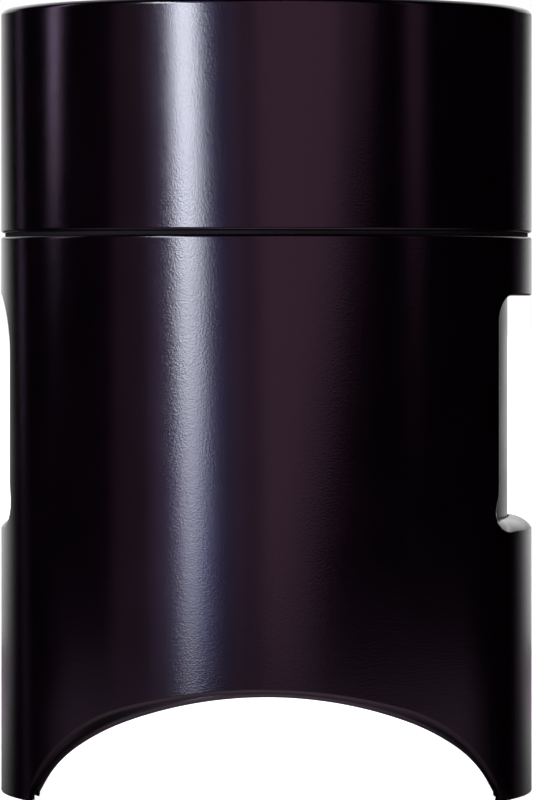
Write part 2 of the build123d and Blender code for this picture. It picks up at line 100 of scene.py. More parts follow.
# ---- mesh building ---------------------------------------------------------
class Skin:
    """Gathers points and faces, with a normal of its own for every face corner."""

    def __init__(self):
        self.points = []
        self.faces = []
        self.normals = []

    def row(self, points):
        """Adds points and returns their numbers."""
        first = len(self.points)
        self.points.extend(Vector(p) for p in points)
        return list(range(first, len(self.points)))

    def face(self, corners, normals):
        """Adds one face, turned so that it faces the way its normals do."""
        a, b, c = (self.points[i] for i in corners[:3])
        across = (b - a).cross(c - a)
        if len(corners) == 4:
            across = (c - a).cross(self.points[corners[3]] - b)
        if across.length < no_area:
            return
        if across.dot(sum(normals, Vector())) < 0:
            corners, normals = corners[::-1], normals[::-1]
        self.faces.append(corners)
        self.normals.append(normals)

    def strip(self, row_a, normals_a, row_b, normals_b):
        """Quads between two closed rows of the same length."""
        for i, a in enumerate(row_a):
            j = (i + 1) % len(row_a)
            corners = (a, row_a[j], row_b[j], row_b[i])
            self.face(corners, (normals_a[i], normals_a[j], normals_b[j], normals_b[i]))

    def piece(self, name, body, slot, *nodes):
        """Makes the object from all that was gathered."""
        mesh = bpy.data.meshes.new(name)
        mesh.from_pydata(self.points, [], self.faces)
        mesh.shade_smooth()
        mesh.normals_split_custom_set([n for group in self.normals for n in group])
        return place(name, mesh, body, slot, *nodes)


def place(name, mesh, body, finish, *nodes):
    """Puts a mesh in the scene in its finish, riding on its body, instead of the nodes."""
    mesh.materials.append(FINISHES[finish])
    made = bpy.data.objects.new(name, mesh)
    bpy.context.scene.collection.objects.link(made)
    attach(made, body)
    if nodes:
        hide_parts(*nodes)
    return made


def around(radius, angle, height):
    """Point on a circle about the Z axis, the angle in radians from the front, towards +X."""
    return Vector((radius * sin(angle), -radius * cos(angle), height))


def radial(point):
    """Unit vector from the axis to a point, level."""
    return Vector((point.x, point.y, 0)).normalized()


def unroll(points, start=None):
    """Angles about the axis, without jumps, from a start angle."""
    angles = []
    last = start
    for p in points:
        angle = atan2(p.x, -p.y)
        if last is not None:
            angle += round((last - angle) / (2 * pi)) * 2 * pi
        angles.append(angle)
        last = angle
    return angles


def loop_tangents(points):
    """Direction of travel at each point of a closed loop."""
    count = len(points)
    return [(points[(i + 1) % count] - points[i - 1]).normalized() for i in range(count)]


def cut_normals(outer, inner, openings):
    """Normals of the cut face ruled between two loops, on the side of the opening."""
    made = []
    for tangent, a, b, hint in zip(loop_tangents(outer), outer, inner, openings):
        normal = tangent.cross(b - a).normalized()
        made.append(normal if normal.dot(hint) > 0 else -normal)
    return made


def rolled_edge(skin, corner, face_normals, cut_face_normals, radii, steps, turns):
    """Rounds an edge: rows of points from the wall's face to the cut face, with normals.
    turns gives the stretch of the way round that the rounding takes: (0, 1) runs smoothly
    into both faces, (0, 0.5) meets the cut face in a crisp edge, (0.5, 1) the wall's face."""
    rows = []
    for k in range(steps + 1):
        points, normals = [], []
        for p, wall, cut, radius, (start, end) in zip(corner, face_normals, cut_face_normals,
                                                      radii, turns):
            lean = wall.dot(cut)
            smooth, crisp, met = (cut, wall, start) if start else (wall, cut, end)
            side = (crisp - smooth * lean).normalized()
            back = radius * (wall.slerp(cut, met).dot(crisp) - lean) / side.dot(crisp)
            centre = p - smooth * radius - side * back
            normal = wall.slerp(cut, start + (end - start) * k / steps)
            point = centre + normal * radius
            if k == 0:  # the first row lies on the wall's face
                level = hypot(p.x, p.y) / hypot(point.x, point.y)
                point = Vector((point.x * level, point.y * level, point.z))
            points.append(point)
            normals.append(normal)
        rows.append((skin.row(points), normals))
    for (row_a, normals_a), (row_b, normals_b) in zip(rows, rows[1:]):
        skin.strip(row_a, normals_a, row_b, normals_b)
    return rows


def opening(skin, outer, inner, hints, outer_radii, inner_radii, steps=edge_steps, turns=None):
    """Edge of a wall: a rounded outer edge, the cut face and a rounded inner edge.
    Returns the two rows where it meets the wall's outer and inner faces."""
    cut = cut_normals(outer, inner, hints)
    outward = [radial(p) for p in outer]
    inward = [-radial(p) for p in inner]
    whole = [(0.0, 1.0)] * len(outer)
    first = rolled_edge(skin, outer, outward, cut, outer_radii, steps, turns or whole)
    second = rolled_edge(skin, inner, inward, cut, inner_radii, inner_steps, whole)
    skin.strip(first[-1][0], cut, second[-1][0], cut)
    return first[0][0], second[0][0]


def wound_forward(ring, angles):
    """A ring and its angles, taken the other way round if need be, so that the angles grow."""
    if angles[-1] < angles[0]:
        ring = [ring[0], *ring[:0:-1]]
        angles = [angles[0], *[angle + 2 * pi for angle in angles[:0:-1]]]
    return ring, angles


def wall_patch(skin, radius, side, low_ring, high_ring, holes):
    """Fills a wall between two rings that go once round the axis, leaving out the holes."""
    low_angles = unroll([skin.points[i] for i in low_ring])
    high_angles = unroll([skin.points[i] for i in high_ring], low_angles[0])
    low_ring, low_angles = wound_forward(low_ring, low_angles)
    high_ring, high_angles = wound_forward(high_ring, high_angles)
    turn = 2 * pi
    flat, number = [], []

    def put(index, angle):
        flat.append(Vector((angle * radius, skin.points[index].z)) / MM)
        number.append(index)
        return len(flat) - 1

    low = [put(i, a) for i, a in zip(low_ring, low_angles)]
    low.append(put(low_ring[0], low_angles[0] + turn))
    high = [put(i, a) for i, a in zip(high_ring, high_angles)]
    high.append(put(high_ring[0], high_angles[0] + turn))

    start, end = skin.points[low_ring[0]].z, skin.points[high_ring[0]].z
    steps = ceil((end - start) / wall_spacing)
    left, right = [low[0]], [low[-1]]
    for k in range(1, steps):
        part = k / steps
        angle = low_angles[0] + (high_angles[0] - low_angles[0]) * part
        index = skin.row([around(radius, angle, start + (end - start) * part)])[0]
        left.append(put(index, angle))
        right.append(put(index, angle + turn))
    outline = low + right[1:] + high[::-1] + left[:0:-1]
    edges = list(zip(outline, outline[1:] + outline[:1]))

    hole_outlines = []
    for hole in holes:
        angles = unroll([skin.points[i] for i in hole])
        shift = 0.0
        while min(angles) + shift < low_angles[0]:
            shift += turn
        ring = [put(i, a + shift) for i, a in zip(hole, angles)]
        edges += zip(ring, ring[1:] + ring[:1])
        hole_outlines.append([flat[i] for i in ring])

    floor_line = [flat[i] for i in low]
    tree = KDTree(len(flat))
    for i, p in enumerate(flat):
        tree.insert((p.x, p.y, 0), i)
    tree.balance()
    step = wall_spacing / MM
    across, height = turn * radius / MM, skin.points[high_ring[0]].z / MM
    columns, rows = ceil(across / step), ceil(height / (step * row_pitch))
    for j in range(1, rows):
        for i in range(columns):
            along = (i + (j % 2) / 2) * across / columns
            spot = Vector((floor_line[0].x + along, j * height / rows))
            near = tree.find((spot.x, spot.y, 0))[2]
            if near < nearest_pitch * step or spot.y < height_over(floor_line, spot.x):
                continue
            if any(encloses(ring, spot) for ring in hole_outlines):
                continue
            angle = spot.x * MM / radius
            put(skin.row([around(radius, angle, spot.y * MM)])[0], angle)

    points, _, faces, origins, _, _ = delaunay_2d_cdt(flat, edges, [], 1, same_point)
    for corners in faces:
        middle = sum((points[c] for c in corners), Vector((0, 0))) / len(corners)
        if any(encloses(ring, middle) for ring in hole_outlines):
            continue
        indices = [number[origins[c][0]] for c in corners]
        skin.face(indices, [radial(skin.points[i]) * side for i in indices])


def height_over(line, x):
    """Height of a left-to-right line of points at x."""
    for a, b in zip(line, line[1:]):
        if a.x <= x <= b.x and b.x > a.x:
            return a.y + (b.y - a.y) * (x - a.x) / (b.x - a.x)
    return 0.0


def encloses(ring, spot):
    """True if a closed ring of flat points goes round the spot."""
    inside = False
    for a, b in zip(ring, ring[1:] + ring[:1]):
        if (a.y > spot.y) != (b.y > spot.y):
            if spot.x < a.x + (b.x - a.x) * (spot.y - a.y) / (b.y - a.y):
                inside = not inside
    return inside


# ---- outlines --------------------------------------------------------------
def arch_half(crown, bends, floor, count):
    """Evenly spaced points (x, z) from an arch's crown down to the floor line."""
    segments = []
    x, z, heading = 0.0, crown, 0.0
    for radius, turn in bends:
        segments.append((x, z, heading, radius, radians(turn)))
        after = heading + radians(turn)
        x += radius * (sin(after) - sin(heading))
        z -= radius * (cos(heading) - cos(after))
        heading = after
    run = (z - floor) / sin(heading)
    lengths = [radius * turn for _, _, _, radius, turn in segments] + [run]
    points = []
    for k in range(count + 1):
        along = sum(lengths) * k / count
        for (sx, sz, start, radius, _), length in zip(segments, lengths):
            if along <= length:
                bend = start + along / radius
                points.append((sx + radius * (sin(bend) - sin(start)),
                               sz - radius * (cos(start) - cos(bend))))
                break
            along -= length
        else:
            points.append((x + cos(heading) * along, z - sin(heading) * along))
    return points


def rounded_corner(before, corner, after, radius, count):
    """Points of a corner between two straight runs, rounded to a radius (in the plane)."""
    back, ahead = (before - corner).normalized(), (after - corner).normalized()
    half = back.angle(ahead) / 2
    reach = radius / tan(half)
    start, end = corner + back * reach, corner + ahead * reach
    made = []
    for k in range(count + 1):
        t = k / count
        made.append(start * (1 - t) ** 2 + corner * 2 * t * (1 - t) + end * t**2)
    return made


def foot_ring(radius, crown, bends, floor, turn=0.0, widen=0.0, arch_count=44, foot_count=26):
    """The wall's lower edge all the way round: arch, foot, arch, foot, from the front crown.
    widen moves the arch's outline outwards by that much."""
    grown = [(r + widen, angle) for r, angle in bends]
    half = arch_half(crown + widen, grown, floor, arch_count)
    quarter = [(asin(x / radius), z) for x, z in half]
    flat = [Vector((angle * radius, z)) for angle, z in quarter]
    mid = Vector((pi / 2 * radius, floor))
    corner = rounded_corner(flat[-3], flat[-1], mid, foot_corner, edge_steps)
    while (flat[-1] - corner[0]).dot(flat[-1] - flat[-2]) > 0 and len(flat) > 2:
        flat.pop()
    run = [corner[-1].lerp(mid, k / foot_count) for k in range(1, foot_count + 1)]
    quarter_line = flat + corner + run
    first = [(p.x / radius, p.y) for p in quarter_line]
    second = [(pi - angle, z) for angle, z in first[-2::-1]]
    right = first + second
    left = [(2 * pi - angle, z) for angle, z in right[-2:0:-1]]
    return [around(radius, angle + radians(turn), z) for angle, z in right + left]


def level_ring(radius, height, count=180):
    """A circle round the axis, from the front."""
    return [around(radius, 2 * pi * k / count, height) for k in range(count)]


def box_outline(half, low, high, low_corner, high_corner, spacing=1.2 * MM):
    """Points (across, up) of an upright rectangle with rounded corners, anticlockwise."""
    centres = ((half - low_corner, low + low_corner, -90, low_corner),
               (half - high_corner, high - high_corner, 0, high_corner),
               (-half + high_corner, high - high_corner, 90, high_corner),
               (-half + low_corner, low + low_corner, 180, low_corner))
    corners = []
    for x, y, start, radius in centres:
        count = max(fewest_in_corner, ceil(radius * pi / 2 / spacing))
        corners.append([(x + radius * cos(radians(start + 90 * k / count)),
                         y + radius * sin(radians(start + 90 * k / count)))
                        for k in range(count + 1)])
    points = []
    for here, following in zip(corners, corners[1:] + corners[:1]):
        points += here
        (ax, ay), (bx, by) = here[-1], following[0]
        count = max(1, ceil(hypot(bx - ax, by - ay) / spacing))
        points += [(ax + (bx - ax) * k / count, ay + (by - ay) * k / count)
                   for k in range(1, count)]
    return points


def window_loops(radius, bore, facing, outline):
    """Outer and inner loops of a window cut straight through a wall, facing in degrees."""
    return [[around(r, radians(facing) + asin(across / r), up) for across, up in outline]
            for r in (radius, bore)]


def towards_middle(loop):
    """For each point of a loop, the direction of the loop's middle."""
    middle = sum(loop, Vector()) / len(loop)
    return [middle - p for p in loop]


def ring_of_section(skin, section, count=120):
    """Turns a closed section, points (radius, height) with flat sides, about the axis."""
    rows = [skin.row([around(r, 2 * pi * k / count, z) for k in range(count)]) for r, z in section]
    for i, row in enumerate(rows):
        j = (i + 1) % len(rows)
        (ra, za), (rb, zb) = section[i], section[j]
        flat = Vector((zb - za, ra - rb)).normalized()
        normals = [around(flat.x, 2 * pi * k / count, flat.y) for k in range(count)]
        skin.strip(row, normals, rows[j], normals)


# ---- materials -------------------------------------------------------------
cloud_size = 0.01  # of the patches in which colour and roughness wander
cloud_range = (0.3, 0.7)  # the part of the noise's range over which they go from end to end


def ramp_between(tree, value, start, end, first, last, smooth=False):
    """Moves a value from the range start..end to the range first..last."""
    node = tree.nodes.new("ShaderNodeMapRange")
    if smooth:
        node.interpolation_type = "SMOOTHSTEP"
    numbers = {"From Min": start, "From Max": end, "To Min": first, "To Max": last}
    for socket, number in numbers.items():
        node.inputs[socket].default_value = number
    tree.links.new(value, node.inputs["Value"])
    return node.outputs["Result"]


def calculate(tree, operation, *values):
    """Result of a calculation on values, each a socket or a number."""
    node = tree.nodes.new("ShaderNodeMath")
    node.operation = operation
    for value, socket in zip(values, node.inputs):
        if isinstance(value, float):
            socket.default_value = value
        else:
            tree.links.new(value, socket)
    return node.outputs["Value"]


def noise(tree, spot, size, detail):
    """Noise of a size in metres over the object's own coordinates."""
    node = tree.nodes.new("ShaderNodeTexNoise")
    node.inputs["Scale"].default_value = 1 / size
    node.inputs["Detail"].default_value = detail
    tree.links.new(spot, node.inputs["Vector"])
    return node.outputs["Fac"]


def finish_of(name, dark, light, roughness, grain, bump=0.0, metallic=0.0, glass=0.0, shine=0.5):
    """A procedural finish: colour and roughness wander between two values, over fine grain.
    grain is the size of the surface's texture and bump its height, in metres."""
    material = bpy.data.materials.new(name)
    material.use_nodes = True
    tree = material.node_tree
    shader = tree.nodes["Principled BSDF"]
    shader.inputs["Metallic"].default_value = metallic
    shader.inputs["Transmission Weight"].default_value = glass
    shader.inputs["Specular IOR Level"].default_value = shine
    spot = tree.nodes.new("ShaderNodeTexCoord").outputs["Object"]
    cloud = noise(tree, spot, cloud_size, 3)
    colours = tree.nodes.new("ShaderNodeValToRGB")
    for stop, position, colour in zip(colours.color_ramp.elements, cloud_range, (dark, light)):
        stop.position = position
        stop.color = (*colour, 1)
    tree.links.new(cloud, colours.inputs["Fac"])
    tree.links.new(colours.outputs["Color"], shader.inputs["Base Color"])
    sheen = ramp_between(tree, cloud, *cloud_range, *roughness)
    tree.links.new(sheen, shader.inputs["Roughness"])
    if bump:
        relief = tree.nodes.new("ShaderNodeBump")
        relief.inputs["Distance"].default_value = bump
        relief.inputs["Strength"].default_value = 1.0
        tree.links.new(noise(tree, spot, grain, 2), relief.inputs["Height"])
        tree.links.new(relief.outputs["Normal"], shader.inputs["Normal"])
    return material


LOOKS = {
    "aubergine_gloss": dict(dark=(0.0009, 0.0003, 0.0008), light=(0.0013, 0.0005, 0.0012),
                            roughness=(0.12, 0.14), grain=0.30 * MM, bump=0.018 * MM),
    "sleeve_gloss": dict(dark=(0.011, 0.007, 0.009), light=(0.014, 0.009, 0.012),
                         roughness=(0.2, 0.26), grain=0.6 * MM, bump=0.015 * MM),
    "black_plastic": dict(dark=(0.006, 0.006, 0.007), light=(0.01, 0.01, 0.011),
                          roughness=(0.4, 0.5), grain=0.5 * MM, bump=0.02 * MM),
    "panel_gloss": dict(dark=(0.003, 0.0025, 0.0035), light=(0.005, 0.0035, 0.005),
                        roughness=(0.1, 0.16), grain=0.4 * MM, bump=0.003 * MM),
    "rubber_black": dict(dark=(0.003, 0.003, 0.003), light=(0.005, 0.0045, 0.005),
                         roughness=(0.65, 0.8), grain=0.4 * MM, bump=0.03 * MM, shine=0.15),
    "rubber_grey": dict(dark=(0.09, 0.09, 0.095), light=(0.13, 0.13, 0.135),
                        roughness=(0.6, 0.75), grain=0.4 * MM, bump=0.03 * MM),
    "steel": dict(dark=(0.5, 0.5, 0.5), light=(0.62, 0.62, 0.62),
                  roughness=(0.18, 0.3), grain=0.3 * MM, bump=0.004 * MM, metallic=1.0),
    "steel_screw": dict(dark=(0.42, 0.42, 0.43), light=(0.55, 0.55, 0.56),
                        roughness=(0.25, 0.38), grain=0.3 * MM, bump=0.005 * MM, metallic=1.0),
    "motor_zinc": dict(dark=(0.45, 0.46, 0.48), light=(0.6, 0.61, 0.62),
                       roughness=(0.35, 0.5), grain=0.5 * MM, bump=0.01 * MM, metallic=1.0),
    "winding": dict(dark=(0.35, 0.11, 0.04), light=(0.55, 0.2, 0.08),
                    roughness=(0.3, 0.45), grain=0.4 * MM, bump=0.05 * MM, metallic=0.8),
    "magnet": dict(dark=(0.05, 0.05, 0.055), light=(0.08, 0.08, 0.085),
                   roughness=(0.45, 0.6), grain=0.4 * MM, bump=0.02 * MM),
    "dial_metal": dict(dark=(0.045, 0.035, 0.045), light=(0.06, 0.047, 0.06),
                       roughness=(0.26, 0.34), grain=0.25 * MM, bump=0.004 * MM, metallic=1.0),
    "smoked_lens": dict(dark=(0.10, 0.09, 0.11), light=(0.12, 0.11, 0.13),
                        roughness=(0.03, 0.05), grain=1 * MM, glass=1.0),
    "display_dark": dict(dark=(0.012, 0.012, 0.013), light=(0.02, 0.02, 0.021),
                         roughness=(0.5, 0.6), grain=0.5 * MM, bump=0.01 * MM),
    "board_green": dict(dark=(0.005, 0.045, 0.02), light=(0.008, 0.07, 0.03),
                        roughness=(0.3, 0.42), grain=0.6 * MM, bump=0.01 * MM),
    "can_aluminium": dict(dark=(0.65, 0.66, 0.67), light=(0.75, 0.76, 0.77),
                          roughness=(0.25, 0.35), grain=0.4 * MM, bump=0.004 * MM, metallic=1.0),
    "core_yellow": dict(dark=(0.55, 0.36, 0.04), light=(0.68, 0.46, 0.07),
                        roughness=(0.4, 0.55), grain=0.5 * MM, bump=0.02 * MM),
    "relay_blue": dict(dark=(0.01, 0.07, 0.3), light=(0.015, 0.1, 0.38),
                       roughness=(0.35, 0.45), grain=0.5 * MM, bump=0.01 * MM),
    "sink_aluminium": dict(dark=(0.5, 0.51, 0.52), light=(0.6, 0.61, 0.62),
                           roughness=(0.35, 0.5), grain=0.4 * MM, bump=0.01 * MM, metallic=1.0),
    "pin_brass": dict(dark=(0.65, 0.5, 0.2), light=(0.75, 0.6, 0.28),
                      roughness=(0.2, 0.3), grain=0.3 * MM, bump=0.003 * MM, metallic=1.0),
    "button_satin": dict(dark=(0.02, 0.015, 0.02), light=(0.028, 0.021, 0.028),
                         roughness=(0.35, 0.42), grain=0.3 * MM, bump=0.006 * MM),
    "mark_grey": dict(dark=(0.5, 0.5, 0.5), light=(0.6, 0.6, 0.6),
                      roughness=(0.4, 0.5), grain=0.3 * MM, bump=0.002 * MM),
    "bearing_bronze": dict(dark=(0.4, 0.25, 0.1), light=(0.5, 0.32, 0.14),
                           roughness=(0.3, 0.45), grain=0.4 * MM, bump=0.01 * MM, metallic=1.0),
}
FINISHES = {name: finish_of(name, **look) for name, look in LOOKS.items()}

for part in frame["record"]["subparts"]:
    node_mesh = frame["nodes"][part["node"]].data
    node_mesh.materials.clear()
    node_mesh.materials.append(FINISHES[part["material_slot"]])


# ---- skirt -----------------------------------------------------------------
def lifts(ring):
    """For each point of a wall's lower edge, 0 on the feet to 1 on the arches."""
    return [min(1, max(0, (p.z - skirt_foot) / foot_blend)) for p in ring]


def arch_radii(ring, radius):
    """Edge rounding along a wall's lower edge: full on the arches, fine on the feet."""
    return [foot_round + (radius - foot_round) * lift for lift in lifts(ring)]


def arch_turns(ring, part):
    """How far round the rounding goes: all the way on the feet, only a part on the arches."""
    return [(0.0, 1 - (1 - part) * lift) for lift in lifts(ring)]


def window_edge(outer):
    """Radii and turns round a window: a wide fall on the sill, fine on the other edges."""
    radii, turns = [], []
    for tangent, hint in zip(loop_tangents(outer), towards_middle(outer)):
        rise = (hint - tangent * hint.dot(tangent)).normalized().z
        part = min(1, max(0, rise))
        part = part * part * (3 - 2 * part)
        radii.append(window_round + (sill_round - window_round) * part)
        turns.append((sill_start * part, 1.0))
    return radii, turns


def build_skirt():
    """The gloss skirt: arched front and back, a window on each side, a fine lip on top."""
    skin = Skin()
    arch = foot_ring(body_r, skirt_crown, skirt_bends, skirt_foot, arch_turn)
    inner_arch = foot_ring(skirt_bore, sleeve_crown, sleeve_bends, skirt_foot, 0, sleeve_border)
    low = opening(skin, arch, inner_arch, [DOWN] * len(arch), arch_radii(arch, arch_round),
                  [inner_round] * len(arch), arch_steps, arch_turns(arch, arch_turned))
    rim, inner_rim = level_ring(body_r, skirt_top), level_ring(skirt_bore, skirt_top)
    high = opening(skin, rim, inner_rim, [UP] * len(rim), [lip_round] * len(rim),
                   [inner_round] * len(rim))
    windows = []
    for facing, outline in (
        (90, box_outline(wide_half, window_sill, window_top, wide_corner, wide_corner)),
        (270, box_outline(slim_half, window_sill, window_top, slim_low_corner, slim_top_corner)),
    ):
        outer, inner = window_loops(body_r, skirt_bore, facing, outline)
        radii, turns = window_edge(outer)
        windows.append(opening(skin, outer, inner, towards_middle(outer), radii,
                               [window_inner_round] * len(outer), wide_round_steps, turns))
    for side, radius in ((0, body_r), (1, skirt_bore)):
        wall_patch(skin, radius, 1 - 2 * side, low[side], high[side],
                   [window[side] for window in windows])
    skin.piece("skirt_skin", "skirt", "aubergine_gloss", "skirt_shell")


# ---- guard sleeve ----------------------------------------------------------
def build_sleeve():
    """The sleeve inside the skirt: round-edged arches and ten water slots."""
    skin = Skin()
    arch = foot_ring(sleeve_r, sleeve_crown, sleeve_bends, sleeve_foot)
    inner_arch = foot_ring(sleeve_bore, sleeve_crown, sleeve_bends, sleeve_foot)
    low = opening(skin, arch, inner_arch, [DOWN] * len(arch), arch_radii(arch, sleeve_arch_round),
                  [inner_round] * len(arch), arch_steps, arch_turns(arch, arch_turned))
    rim, inner_rim = level_ring(sleeve_r, sleeve_top), level_ring(sleeve_bore, sleeve_top)
    high = opening(skin, rim, inner_rim, [UP] * len(rim), [inner_round] * len(rim),
                   [inner_round] * len(rim))
    middle = (window_sill + window_top) / 2
    outline = box_outline(slot_w / 2, middle - slot_h / 2, middle + slot_h / 2,
                          slot_corner, slot_corner, slot_spacing)
    slots = []
    for first in slots_from:
        for k in range(slot_count):
            outer, inner = window_loops(sleeve_r, sleeve_bore, 90 + first + k * slot_pitch, outline)
            slots.append(opening(skin, outer, inner, towards_middle(outer),
                                 [slot_round] * len(outer), [inner_round] * len(outer)))
    for side, radius in ((0, sleeve_r), (1, sleeve_bore)):
        wall_patch(skin, radius, 1 - 2 * side, low[side], high[side],
                   [slot[side] for slot in slots])
    skin.piece("sleeve_skin", "head", "sleeve_gloss", "guard_sleeve")


# ---- head casing -----------------------------------------------------------
def build_casing():
    """The head's casing: a fine lip below, a rounded rim above, the inlet's opening behind."""
    skin = Skin()
    foot, inner_foot = level_ring(body_r, head_base), level_ring(head_bore, head_base)
    low = opening(skin, foot, inner_foot, [DOWN] * len(foot), [lip_round] * len(foot),
                  [inner_round] * len(foot))
    rim, inner_rim = level_ring(body_r, total_h), level_ring(head_bore, total_h)
    high = opening(skin, rim, inner_rim, [UP] * len(rim), [rim_round] * len(rim),
                   [rim_inner_round] * len(rim), wide_round_steps)
    outline = box_outline(inlet_half, inlet_low, inlet_high, inlet_corner, inlet_corner)
    outer, inner = window_loops(body_r, head_bore, 180, outline)
    inlet = opening(skin, outer, inner, towards_middle(outer), [window_round] * len(outer),
                    [inner_round] * len(outer))
    for side, radius in ((0, body_r), (1, head_bore)):
        wall_patch(skin, radius, 1 - 2 * side, low[side], high[side], [inlet[side]])
    buried = head_bore + inner_round
    for inside, bottom, top in ((head_floor_r, head_base, bulkhead_low),
                                (ledge_r, ledge_top - ledge_h, ledge_top)):
        ring_of_section(skin, ((inside, bottom), (buried, bottom), (buried, top), (inside, top)))
    skin.piece("casing_skin", "head", "aubergine_gloss", "head_shell")


# ---- controls --------------------------------------------------------------
def revolve(name, profile, count, shape=None):
    """Mesh of a profile, points (radius, height) from axis to axis, turned about the Z axis.
    shape may move each point: it takes and gives (radius, angle, height)."""
    points, rows = [], []
    for radius, height in profile:
        if radius == 0:
            rows.append([len(points)] * count)
            points.append((0, 0, height))
            continue
        rows.append(list(range(len(points), len(points) + count)))
        for k in range(count):
            spot = (radius, 2 * pi * k / count, height)
            points.append(around(*(shape(*spot) if shape else spot)))
    faces = []
    for row_a, row_b in zip(rows, rows[1:]):
        for k in range(count):
            j = (k + 1) % count
            corners = [row_a[k], row_a[j], row_b[j], row_b[k]]
            faces.append(list(dict.fromkeys(corners)))
    mesh = bpy.data.meshes.new(name)
    mesh.from_pydata(points, [], faces)
    mesh.shade_smooth()
    mesh.set_sharp_from_angle(angle=radians(crease))
    return mesh


def arc_points(centre_r, centre_z, radius, start, end, count):
    """Points (radius, height) of an arc in a profile, angles in degrees from outwards."""
    return [(centre_r + radius * cos(radians(start + (end - start) * k / count)),
             centre_z + radius * sin(radians(start + (end - start) * k / count)))
            for k in range(count + 1)]


def build_dial():
    """The setting dial: scalloped edge, turned top with a fine groove and a finger dimple."""
    edge, dish = 0.8 * MM, 0.25 * MM
    dimple_ring, dimple_r, dimple_deep = 10.5 * MM, 3.0 * MM, 0.75 * MM
    groove_r, groove_w, groove_deep = 14.2 * MM, 0.25 * MM, 0.15 * MM
    dish_fall, foot_chamfer, scallop_deep, scallop_fade = 2 * MM, 0.3 * MM, 0.4 * MM, 0.6 * MM
    side_band, top_band, innermost, rings = 0.5 * MM, 0.01 * MM, 0.3 * MM, 60
    profile = [(0, dial_low), (dial_r - foot_chamfer, dial_low), (dial_r, dial_low + foot_chamfer)]
    profile += [(dial_r, dial_low + (dial_high - edge - dial_low) * k / 4) for k in (2, 3)]
    profile += arc_points(dial_r - edge, dial_high - edge, edge, 0, 90, profile_steps)
    top_r = dial_r - edge
    profile += [(top_r - (top_r - innermost) * k / rings, dial_high) for k in range(1, rings + 1)]
    profile.append((0, dial_high))

    def shape(radius, angle, height):
        if height > dial_high - top_band:
            lift = -groove_deep * max(0, 1 - abs(radius - groove_r) / groove_w)
            if radius < groove_r - groove_w:
                lift -= dish * min(1, (groove_r - groove_w - radius) / dish_fall)
            spot = around(radius, angle, 0)
            away = hypot(spot.x, spot.y - dimple_ring) / dimple_r
            if away < 1:
                lift -= dimple_deep * (1 - away * away)
            return radius, angle, height + lift
        if radius > dial_r - side_band:
            wave = 0.5 + 0.5 * cos(angle * dial_grooves)
            side = min(1, (dial_high - height) / scallop_fade)
            return radius - scallop_deep * wave**3 * side, angle, height
        return radius, angle, height

    mesh = revolve("dial_cap", profile, dial_grooves * sides_per_groove, shape)
    middle = min(mesh.vertices, key=lambda v: (v.co - Vector((0, 0, dial_high))).length)
    middle.co = Vector((0, 0, dial_high - dish))
    place("dial_cap", mesh, "dial", "dial_metal", "setting_dial")


def build_button(node, body, icon):
    """A round button with a dished top and a raised sign on it."""
    low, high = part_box(node)
    centre = Vector(((low.x + high.x) / 2, (low.y + high.y) / 2, 0))
    collar = (high.x - low.x) / 2
    collar_width, under_panel, rings = 1.2 * MM, 0.1 * MM, 12
    sign_deep, sign_proud = 0.1 * MM, 0.06 * MM
    radius, edge, dish = collar - collar_width, 0.5 * MM, 0.3 * MM
    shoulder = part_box("control_panel")[0].z - under_panel
    profile = [(0, low.z), (collar, low.z), (collar, shoulder), (radius, shoulder),
               (radius, (shoulder + high.z) / 2)]
    profile += arc_points(radius - edge, high.z - edge, edge, 0, 90, profile_steps)
    reach = radius - edge
    profile += [(reach * (1 - k / rings), high.z - dish * sin(pi / 2 * k / rings) ** 2)
                for k in range(1, rings)]
    profile.append((0, high.z - dish))
    mesh = revolve(node + "_cap", profile, button_sides)
    mesh.transform(Matrix.Translation(centre))
    place(node + "_cap", mesh, body, "button_satin", node)
    sign = extruded(node + "_sign", icon, high.z - dish - sign_deep, high.z - dish + sign_proud)
    sign.transform(Matrix.Translation(centre))
    place(node + "_sign", sign, body, "mark_grey")


def extruded(name, outlines, bottom, top):
    """Mesh of flat closed outlines, each a convex ring of (x, y), pushed up between two heights."""
    points, faces = [], []
    for ring in outlines:
        first, count = len(points), len(ring)
        points += [(x, y, bottom) for x, y in ring] + [(x, y, top) for x, y in ring]
        faces.append([first + k for k in range(count)][::-1])
        faces.append([first + count + k for k in range(count)])
        faces += [[first + k, first + (k + 1) % count, first + count + (k + 1) % count,
                   first + count + k] for k in range(count)]
    mesh = bpy.data.meshes.new(name)
    mesh.from_pydata(points, [], faces)
    return mesh


def bar(x, y, width, height):
    """Outline of an upright bar."""
    return [(x - width / 2, y - height / 2), (x + width / 2, y - height / 2),
            (x + width / 2, y + height / 2), (x - width / 2, y + height / 2)]


def power_icon():
    """A broken ring with a bar through the gap."""
    inner, outer, gap, steps = 1.5 * MM, 1.85 * MM, 38, 28
    bar_wide, bar_tall = 0.35 * MM, 1.5 * MM
    pieces = [bar(0, inner, bar_wide, bar_tall)]
    turns = [radians(90 + gap + (360 - 2 * gap) * k / steps) for k in range(steps + 1)]
    for a, b in zip(turns, turns[1:]):
        pieces.append([(inner * cos(a), inner * sin(a)), (outer * cos(a), outer * sin(a)),
                       (outer * cos(b), outer * sin(b)), (inner * cos(b), inner * sin(b))])
    return pieces


def start_icon():
    """A triangle pointing right, with the two bars of a pause beside it."""
    tip, back, half = 0.9 * MM, -1.6 * MM, 1.4 * MM
    bars_at, bar_wide = (1.5 * MM, 2.3 * MM), 0.4 * MM
    triangle = [(back, -half), (tip, 0), (back, half)]
    return [triangle] + [bar(x, 0, bar_wide, 2 * half) for x in bars_at]


